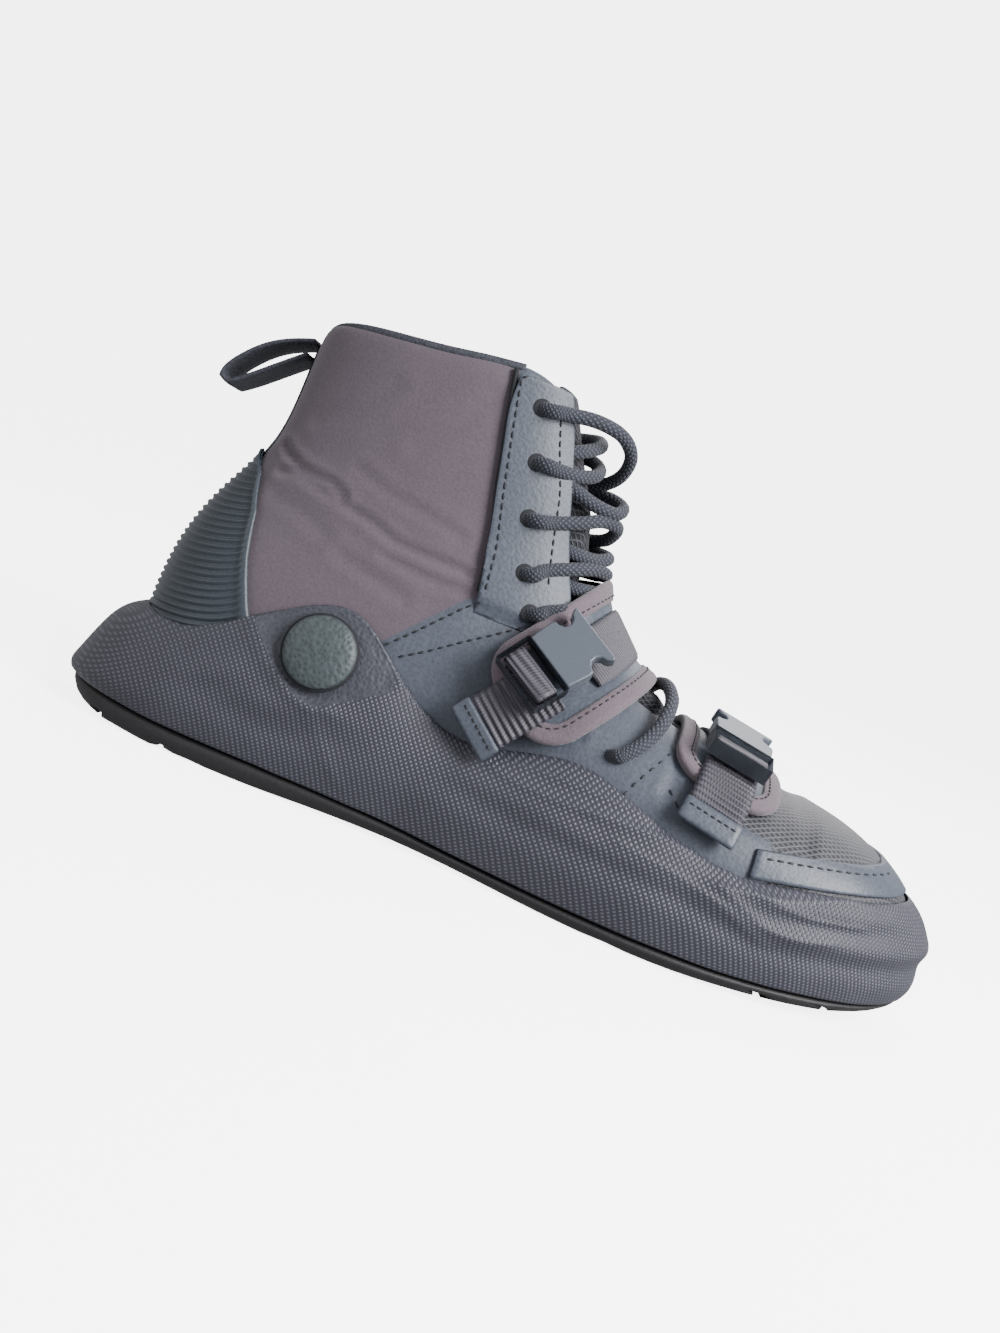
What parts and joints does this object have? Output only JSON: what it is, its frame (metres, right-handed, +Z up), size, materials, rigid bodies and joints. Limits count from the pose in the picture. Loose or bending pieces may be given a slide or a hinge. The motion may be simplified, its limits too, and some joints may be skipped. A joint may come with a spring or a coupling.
{
  "type": "high-top sneaker",
  "caption": "Right high-top sneaker with a sculpted cup sole, knit ankle shaft, laced leather eyestays and buckled webbing straps over the instep and forefoot.",
  "frame": {"origin": "centre of the shoe's footprint box on the ground", "axes": "+X to the toe, -Y to the outer (lateral) side, +Z up"},
  "size_m": [0.32, 0.114, 0.1622],
  "materials": {
    "outsole_rubber": "matt moulded rubber",
    "foam": "moulded foam with a fine ribbed texture",
    "knit": "smooth stretch fabric over foam",
    "mesh": "open air mesh",
    "leather": "smooth matt leather",
    "counter_rubber": "ribbed moulded rubber",
    "disc_rubber": "grained moulded rubber",
    "suede": "soft brushed suede edge",
    "webbing": "woven webbing",
    "buckle": "moulded acetal",
    "lace": "round knitted cord"
  },
  "bodies": {
    "root": {"outsole": "outsole_rubber", "midsole": "foam", "upper": "knit", "insole": "mesh", "tongue": "mesh", "heel_counter": "counter_rubber", "toe_guard": "leather", "disc_lateral": "disc_rubber", "disc_medial": "disc_rubber", "eyestay_lateral": "leather", "eyestay_medial": "leather", "instep_pad": "suede", "instep_webbing": "webbing", "instep_tail": "webbing", "instep_tab": "leather", "instep_buckle_plug": "buckle", "instep_buckle_socket": "buckle", "forefoot_pad": "suede", "forefoot_webbing": "webbing", "forefoot_tail": "webbing", "forefoot_tab": "leather", "forefoot_buckle_plug": "buckle", "forefoot_buckle_socket": "buckle", "lace_bars": "lace", "lace_low": "lace", "pull_loop": "webbing"}
  },
  "joints": []
}
